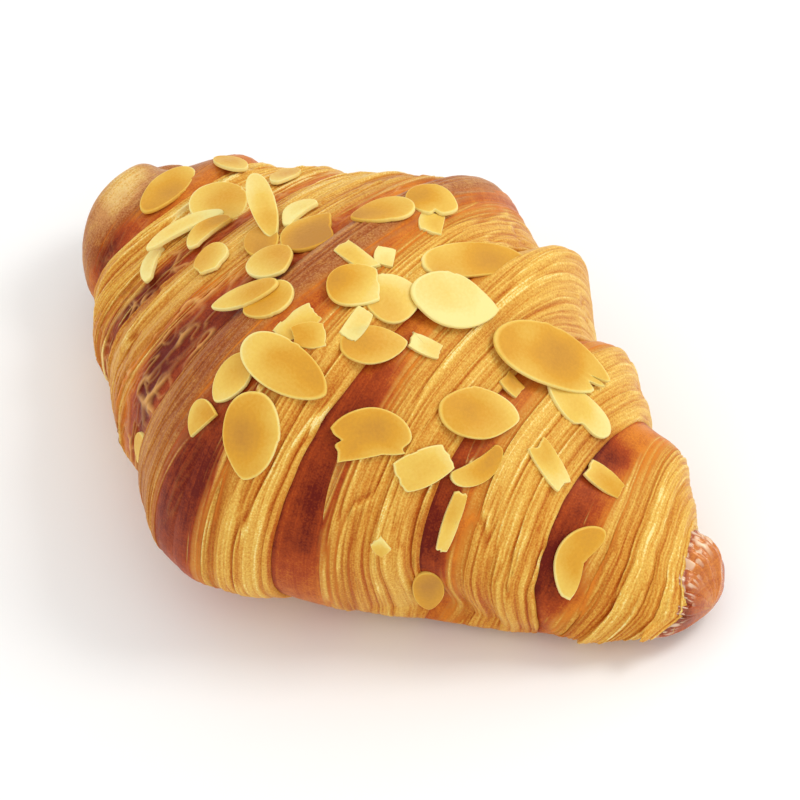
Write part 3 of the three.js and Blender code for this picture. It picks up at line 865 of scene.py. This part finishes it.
def flake_outline(flake, index):
    """Outline of a flake, divided evenly.

    It is an oval with one pointed end, clipped where it is broken, made uneven, notched and stretched.
    """
    tip, tail, side, bend = FLAKE_KINDS[flake.kind]
    phase = np.linspace(0.0, 2.0 * np.pi, OUTLINE_PHASES)
    cosine = np.cos(phase)
    point = 1.0 + FLAKE_POINT * (1.0 + cosine) / 2.0
    half = signed_power(np.sin(phase), point) * (1.0 - FLAKE_BELLY * cosine)
    along = np.clip(cosine, -tail, tip)
    across = np.maximum(half, -side)
    broken = (along != cosine) | (across != half)
    uneven = RIM_UNEVEN * ring_noise(RIM_STEP * index, phase, waves=1.0, seed=31)
    uneven = uneven + RIM_TORN * broken * ring_noise(RIM_STEP * index, phase, waves=4.0, seed=32)
    for place, depth, notch_width in flake.notches:
        uneven = uneven - depth * thin_lines(turn_from(place, phase), math.radians(notch_width))
    along = stretched((1.0 + uneven) * along)
    across = stretched((1.0 + uneven) * across)
    bent = flake.wide / 2.0 * across - bend * (along * along - 0.5)
    outline = np.stack((flake.long / 2.0 * along, bent), axis=-1)
    steps = np.linalg.norm(np.diff(outline, axis=0), axis=-1)
    walked = np.concatenate(((0.0,), np.cumsum(steps)))
    marks = np.linspace(0.0, walked[-1], FLAKE_OUTLINE, endpoint=False)
    return np.stack([np.interp(marks, walked, values) for values in outline.T], axis=-1)


def crust_frame(roll, x, angle):
    """Middle, directions along, around and outwards, and turning radius of the plain roll at a place."""
    length = 0.05
    turn = 0.005
    middle = roll_point(roll, x, angle)
    along = roll_point(roll, x + length, angle) - roll_point(roll, x - length, angle)
    around = roll_point(roll, x, angle + turn) - roll_point(roll, x, angle - turn)
    radius = np.linalg.norm(around) / (2.0 * turn)
    along = along / np.linalg.norm(along)
    around = around - along * (around @ along)
    around = around / np.linalg.norm(around)
    return middle, along, around, np.cross(around, along), radius


def flake_surface(roll, almonds, flake, index):
    """Surface of a flake as rings from the middle of its underside to the middle of its top.

    It follows part of the crust's curve, is tipped back to level by its rise, and lies on the highest of
    five points under it.
    """
    angle = math.radians(flake.around)
    turn = math.radians(flake.turn)
    middle, along, around, outward, radius = crust_frame(roll, np.float64(flake.along), angle)
    downhill = outward * outward[2] - np.array((0.0, 0.0, 1.0))
    downhill = downhill / max(np.linalg.norm(downhill), 1e-6)
    slope = math.tan(math.radians(flake.rise))

    def footing(spots):
        """Places of spots, and the fall, levelling and swell of the crust there."""
        forward = spots[..., 0] * math.cos(turn) - spots[..., 1] * math.sin(turn)
        sideways = spots[..., 0] * math.sin(turn) + spots[..., 1] * math.cos(turn)
        place = forward[..., None] * along + sideways[..., None] * around
        foot_x = flake.along + forward * along[0]
        foot_angle = angle + sideways / radius
        fall = (roll_point(roll, foot_x, foot_angle) - middle) @ outward
        return place, fall, slope * (place @ downhill), crust_swell(foot_x, foot_angle)

    _, fall, levelling, swell = footing(FLAKE_FEET * (flake.long, flake.wide))
    seat = (swell + (1.0 - FLAKE_DRAPE) * fall - levelling).max()
    thickness = almonds.thickness / MM
    underside = seat - almonds.sink / MM + flake.level * FLAKE_LEVEL

    spots = FLAKE_SECTION[:, None, :1] * flake_outline(flake, index)
    place, fall, levelling, _ = footing(spots)
    number = np.full((*fall.shape, 1), index)
    waves = np.concatenate((spots / RIPPLE_LENGTH, RIPPLE_STEP * number), axis=-1)
    ripple = RIPPLE_HEIGHT * smooth_noise(waves, seed=33)
    height = underside + thickness * FLAKE_SECTION[:, 1:] + FLAKE_DRAPE * fall + levelling + ripple
    points = middle + place + height[..., None] * outward
    rim = np.broadcast_to(FLAKE_SECTION[:, :1], fall.shape)
    lean = LEAN_STEP * index
    leaning = spots @ (math.cos(lean), math.sin(lean))
    tone = flake.tone + TONE_LEAN * leaning / (flake.long / 2.0)
    grain = np.concatenate((spots, GRAIN_STEP * number), axis=-1)
    return points, {"rim": rim, "tone": tone, "grain": grain}


# Materials

# Range of most values of a noise texture, and the colour sockets of a mix node
NOISE_RANGE = (0.3, 0.7)
MIX_COLOURS = (6, 7)
MIX_RESULT = 2


class NodeTree:
    """A material's nodes: each call adds one node, sets its values and links its inputs."""

    def __init__(self, name):
        self.material = bpy.data.materials.new(name)
        self.material.use_nodes = True
        self.nodes = self.material.node_tree.nodes
        self.links = self.material.node_tree.links
        self.shader = self.nodes["Principled BSDF"]

    def add(self, kind, inputs=None, **settings):
        node = self.nodes.new(kind)
        for name, value in settings.items():
            setattr(node, name, value)
        self.feed(node, inputs or {})
        return node

    def feed(self, node, inputs):
        for name, value in inputs.items():
            if isinstance(value, bpy.types.NodeSocket):
                self.links.new(value, node.inputs[name])
            else:
                node.inputs[name].default_value = value

    def attribute(self, name, output="Fac"):
        return self.add("ShaderNodeAttribute", attribute_name=name).outputs[output]

    def math(self, operation, first, second, clamp=False):
        node = self.add("ShaderNodeMath", {0: first, 1: second}, operation=operation, use_clamp=clamp)
        return node.outputs["Value"]

    def noise(self, vector, scale, detail=3.0, roughness=0.55):
        inputs = {"Vector": vector, "Scale": scale, "Detail": detail, "Roughness": roughness}
        return self.add("ShaderNodeTexNoise", inputs).outputs["Fac"]

    def mix(self, factor, *colours):
        inputs = {0: factor}
        for place, colour in zip(MIX_COLOURS, colours):
            inputs[place] = colour if isinstance(colour, bpy.types.NodeSocket) else (*colour, 1.0)
        return self.add("ShaderNodeMix", inputs, data_type="RGBA").outputs[MIX_RESULT]

    def ramp(self, factor, *stops):
        node = self.add("ShaderNodeValToRGB", {"Fac": factor})
        elements = node.color_ramp.elements
        while len(elements) < len(stops):
            elements.new(1.0)
        for element, (position, colour) in zip(elements, stops):
            element.position = position
            element.color = (*colour, 1.0)
        return node.outputs["Color"]

    def span(self, value, low, high, new_low, new_high):
        inputs = {"Value": value, "From Min": low, "From Max": high, "To Min": new_low, "To Max": new_high}
        return self.add("ShaderNodeMapRange", inputs).outputs["Result"]

    def vary(self, noise, low, high):
        """Values from low to high that follow a noise."""
        return self.span(noise, *NOISE_RANGE, low, high)

    def bump(self, height, strength, distance):
        inputs = {"Height": height, "Strength": strength, "Distance": distance}
        return self.add("ShaderNodeBump", inputs).outputs["Normal"]


def crust_material(crust, name, wrinkle, roughness, specular):
    """Baked crust: layers from orange grooves to pale edges, toasted in places, and a browned skin."""
    tree = NodeTree(name)
    place = tree.add("ShaderNodeTexCoord").outputs["Object"]
    crumb = tree.noise(place, scale=2600.0)
    mottle = tree.noise(place, scale=420.0)
    lines = {"Vector": tree.attribute("fibre", "Vector"), "Scale": (3.2, 0.05, 0.05)}
    drawn_out = tree.add("ShaderNodeMapping", lines).outputs["Vector"]
    fibre = tree.noise(drawn_out, scale=1.0, roughness=0.6)

    toast = tree.attribute("toast")
    calm = tree.span(toast, 0.0, 1.0, 1.0, 0.35)
    threads = tree.math("MULTIPLY", tree.vary(fibre, -0.2, 0.2), calm)
    layer = tree.math("ADD", tree.attribute("layer"), tree.vary(crumb, -0.2, 0.2))
    layer = tree.math("ADD", layer, threads, clamp=True)
    # The dark ends of these ramps partly hold painted shade, and their pale ends partly painted highlight
    golden = ((0.05, crust.groove), (0.45, crust.dough), (0.85, crust.ridge), (1.0, crust.painted_glint))
    toasted = ((0.05, crust.toasted_groove), (0.45, crust.toasted), (0.95, crust.toasted_ridge))
    toast = tree.math("MULTIPLY", toast, tree.vary(mottle, 0.8, 1.2), clamp=True)
    layers = tree.mix(toast, tree.ramp(layer, *golden), tree.ramp(layer, *toasted))

    # Browning of the skin, together with the painted shade along its seams
    bake_and_seam_shade = tree.math("ADD", tree.attribute("bake_and_seam_shade"), tree.vary(mottle, -0.1, 0.1))
    bake_and_seam_shade = tree.math("ADD", bake_and_seam_shade, tree.vary(fibre, -0.09, 0.09))
    bake_and_seam_shade = tree.math("ADD", bake_and_seam_shade, tree.vary(crumb, -0.13, 0.13), clamp=True)
    skin = tree.ramp(bake_and_seam_shade, (0.0, crust.skin_light), (0.5, crust.skin_brown), (1.0, crust.skin_dark))
    # Wrinkles take the given colour: pale crackle on the baked crust, painted glints on the glazed crust
    skin = tree.mix(tree.math("MULTIPLY", tree.attribute("wrinkle"), 0.85), skin, wrinkle)

    flaky = tree.attribute("flaky")
    colour = tree.mix(flaky, skin, layers)
    grain = tree.math("ADD", tree.math("MULTIPLY", fibre, flaky), tree.math("MULTIPLY", crumb, 0.3))
    looks = {
        "Base Color": tree.mix(tree.attribute("base"), colour, crust.base),
        "Roughness": tree.vary(mottle, roughness - 0.04, roughness + 0.04),
        "Specular IOR Level": specular,
        "Specular Tint": (1.0, 0.86, 0.66, 1.0),
        "Subsurface Weight": 0.1,
        "Subsurface Radius": (1.0, 0.45, 0.15),
        "Subsurface Scale": 1.5 * MM,
        "Normal": tree.bump(grain, strength=0.5, distance=0.4 * MM),
    }
    tree.feed(tree.shader, looks)
    return tree.material


def almond_material(almonds):
    """Flaked almond: each baked from cream to tan, clouded and speckled, and paler towards its rim."""
    tree = NodeTree("flaked_almond")
    grain = tree.attribute("grain", "Vector")
    cloud = tree.noise(grain, scale=0.09, detail=1.0)
    speckle = tree.noise(grain, scale=1.6, detail=2.0)

    rim = tree.attribute("rim")
    tone = tree.math("ADD", tree.attribute("tone"), tree.vary(cloud, -0.16, 0.16))
    # Paler towards the rim and a pale line at it: partly the almond's own pale edge, partly painted
    # highlight
    tone = tree.math("ADD", tone, tree.span(rim, 0.3, 0.95, 0.04, -0.12))
    tone = tree.math("SUBTRACT", tone, tree.span(rim, 0.92, 0.99, 0.0, 0.4))
    tone = tree.math("ADD", tone, tree.vary(speckle, -0.04, 0.04), clamp=True)
    stops = ((0.0, almonds.cream), (0.35, almonds.pale), (0.7, almonds.golden), (1.0, almonds.tan))
    looks = {
        "Base Color": tree.ramp(tone, *stops),
        "Roughness": tree.vary(speckle, 0.42, 0.55),
        "Specular IOR Level": 0.25,
        "Subsurface Weight": 0.2,
        "Subsurface Radius": (1.0, 0.7, 0.3),
        "Subsurface Scale": 1.2 * MM,
        "Normal": tree.bump(speckle, strength=0.2, distance=0.2 * MM),
    }
    tree.feed(tree.shader, looks)
    return tree.material


def floor_material(looks):
    """Plain pale ground with a trace of mottling in its gloss."""
    tree = NodeTree("pale_ground")
    place = tree.add("ShaderNodeTexCoord").outputs["Object"]
    gloss = tree.span(tree.noise(place, scale=30.0), 0.0, 1.0, 0.75, 0.85)
    tree.feed(tree.shader, {"Base Color": (*looks.floor, 1.0), "Roughness": gloss})
    return tree.material


# Stage

# Middle of the view, the camera's aim from it, its near limit and the floor's corners, in metres
TARGET = Vector((0.0, 4.2, 22.0)) * MM
AIM_SHIFT = (4.3 * MM, -3.1 * MM, 0.0)
NEAREST = 0.01
FLOOR_CORNERS = ((-3.0, -3.0, 0.0), (3.0, -3.0, 0.0), (3.0, 3.0, 0.0), (-3.0, 3.0, 0.0))
# Lamps: metres to the right, up and back in the camera's view, and the length of a side
KEY_PLACE = (0.35, 0.35, 0.35)
KEY_SIZE = 0.2
FILL_PLACE = (-0.5, 0.25, 0.4)
FILL_SIZE = 0.6


def view_axes(azimuth, elevation):
    """Directions to the right, up and back to the camera in its view."""
    level = math.cos(elevation)
    back = Vector((math.sin(azimuth) * level, -math.cos(azimuth) * level, math.sin(elevation)))
    across = Vector((math.cos(azimuth), math.sin(azimuth), 0.0))
    return across, back.cross(across), back


def view_offset(axes, lengths):
    """Way to a place given along the axes of the view."""
    return sum((length * axis for length, axis in zip(lengths, axes)), Vector())


def area_lamp(scene, name, offset, size, power):
    """Square lamp at an offset from the target, turned to it."""
    lamp = bpy.data.lights.new(name, "AREA")
    lamp.size = size
    lamp.energy = power
    holder = bpy.data.objects.new(name, lamp)
    holder.location = TARGET + offset
    holder.rotation_euler = (-offset).to_track_quat("-Z", "Y").to_euler()
    scene.collection.objects.link(holder)


# Operators


class CROISSANT_OT_crust(Operator):
    """Model the wraps of the baked crust"""

    bl_idname = "croissant.crust"
    bl_label = "Crust"

    def execute(self, context):
        roll = context.scene.croissant_roll
        crust = context.scene.croissant_crust
        baked = crust_material(crust, "baked_crust", crust.crackle, roughness=0.36, specular=0.12)
        # Its wrinkle colour is the painted highlight of the narrow end's glints
        glazed = crust_material(crust, "glazed_crust", crust.painted_nub_glint, roughness=0.14, specular=0.9)
        angle = row_angles(crust.rows)
        for name in dict.fromkeys(wrap.piece for wrap in WRAPS):
            halves = [wrap for wrap in WRAPS if wrap.piece == name]
            points, colours = wrap_surface(roll, crust, halves, angle)
            quads, triangles = tube_faces(len(points) - 2, len(angle))
            colours = {attribute: with_poles(values) for attribute, values in colours.items()}
            material = glazed if halves[0].gloss else baked
            new_piece(name, with_poles(points), quads, triangles, colours, material)
        return {"FINISHED"}


class CROISSANT_OT_almonds(Operator):
    """Lay the flaked almonds on the crust"""

    bl_idname = "croissant.almonds"
    bl_label = "Almonds"

    def execute(self, context):
        roll = context.scene.croissant_roll
        almonds = context.scene.croissant_almonds
        quads, triangles = tube_faces(len(FLAKE_SECTION) - 2, FLAKE_OUTLINE)
        surfaces = [flake_surface(roll, almonds, flake, index) for index, flake in enumerate(FLAKES)]
        points = [with_poles(surface[0]) for surface in surfaces]
        starts = np.arange(len(points)) * len(points[0])
        colours = {
            attribute: np.concatenate([with_poles(surface[1][attribute]) for surface in surfaces])
            for attribute in surfaces[0][1]
        }
        new_piece(
            "almond_flakes",
            np.concatenate(points),
            (quads + starts[:, None, None]).reshape(-1, 4),
            (triangles + starts[:, None, None]).reshape(-1, 3),
            colours,
            almond_material(almonds),
        )
        return {"FINISHED"}


class CROISSANT_OT_stage(Operator):
    """Set the floor, the lights and the camera"""

    bl_idname = "croissant.stage"
    bl_label = "Stage"

    def execute(self, context):
        scene = context.scene
        looks = scene.croissant_stage
        mesh = bpy.data.meshes.new("floor")
        mesh.from_pydata(FLOOR_CORNERS, (), ((0, 1, 2, 3),))
        mesh.materials.append(floor_material(looks))
        floor = bpy.data.objects.new("floor", mesh)
        scene.collection.objects.link(floor)

        axes = view_axes(looks.azimuth, looks.elevation)
        area_lamp(scene, "key_lamp", view_offset(axes, KEY_PLACE), KEY_SIZE, looks.key_power)
        area_lamp(scene, "fill_lamp", view_offset(axes, FILL_PLACE), FILL_SIZE, looks.fill_power)
        world = bpy.data.worlds.new("even_white")
        world.use_nodes = True
        background = world.node_tree.nodes["Background"]
        background.inputs["Color"].default_value = (1.0, 1.0, 1.0, 1.0)
        background.inputs["Strength"].default_value = looks.daylight
        scene.world = world
        scene.view_settings.view_transform = "Standard"

        camera = bpy.data.objects.new("camera", bpy.data.cameras.new("camera"))
        scene.collection.objects.link(camera)
        camera.data.lens = looks.lens
        camera.data.clip_start = NEAREST
        camera.location = TARGET + view_offset(axes, (0.0, 0.0, looks.distance))
        aim = TARGET + view_offset(axes, AIM_SHIFT)
        camera.rotation_euler = (aim - camera.location).to_track_quat("-Z", "Y").to_euler()
        scene.camera = camera
        return {"FINISHED"}


class CROISSANT_PT_sidebar(Panel):
    """Sizes, colours and steps of the croissant"""

    bl_idname = "CROISSANT_PT_sidebar"
    bl_label = "Almond Croissant"
    bl_space_type = "VIEW_3D"
    bl_region_type = "UI"
    bl_category = "Croissant"

    def draw(self, context):
        for name in GROUPS:
            group = getattr(context.scene, name)
            box = self.layout.box()
            for setting in group.bl_rna.properties.keys():
                if setting not in ("rna_type", "name"):
                    box.prop(group, setting)
        for step in ("crust", "almonds", "stage"):
            self.layout.operator(f"croissant.{step}")


GROUPS = {
    "croissant_roll": RollSizes,
    "croissant_crust": CrustLooks,
    "croissant_almonds": AlmondLooks,
    "croissant_stage": StageLooks,
}
CLASSES = (
    *GROUPS.values(),
    CROISSANT_OT_crust,
    CROISSANT_OT_almonds,
    CROISSANT_OT_stage,
    CROISSANT_PT_sidebar,
)


def register():
    for cls in CLASSES:
        bpy.utils.register_class(cls)
    for name, group in GROUPS.items():
        setattr(bpy.types.Scene, name, PointerProperty(type=group))


def unregister():
    for name in GROUPS:
        delattr(bpy.types.Scene, name)
    for cls in reversed(CLASSES):
        bpy.utils.unregister_class(cls)


def main():
    register()
    bpy.ops.croissant.crust()
    bpy.ops.croissant.almonds()
    bpy.ops.croissant.stage()


if __name__ == "__main__":
    main()
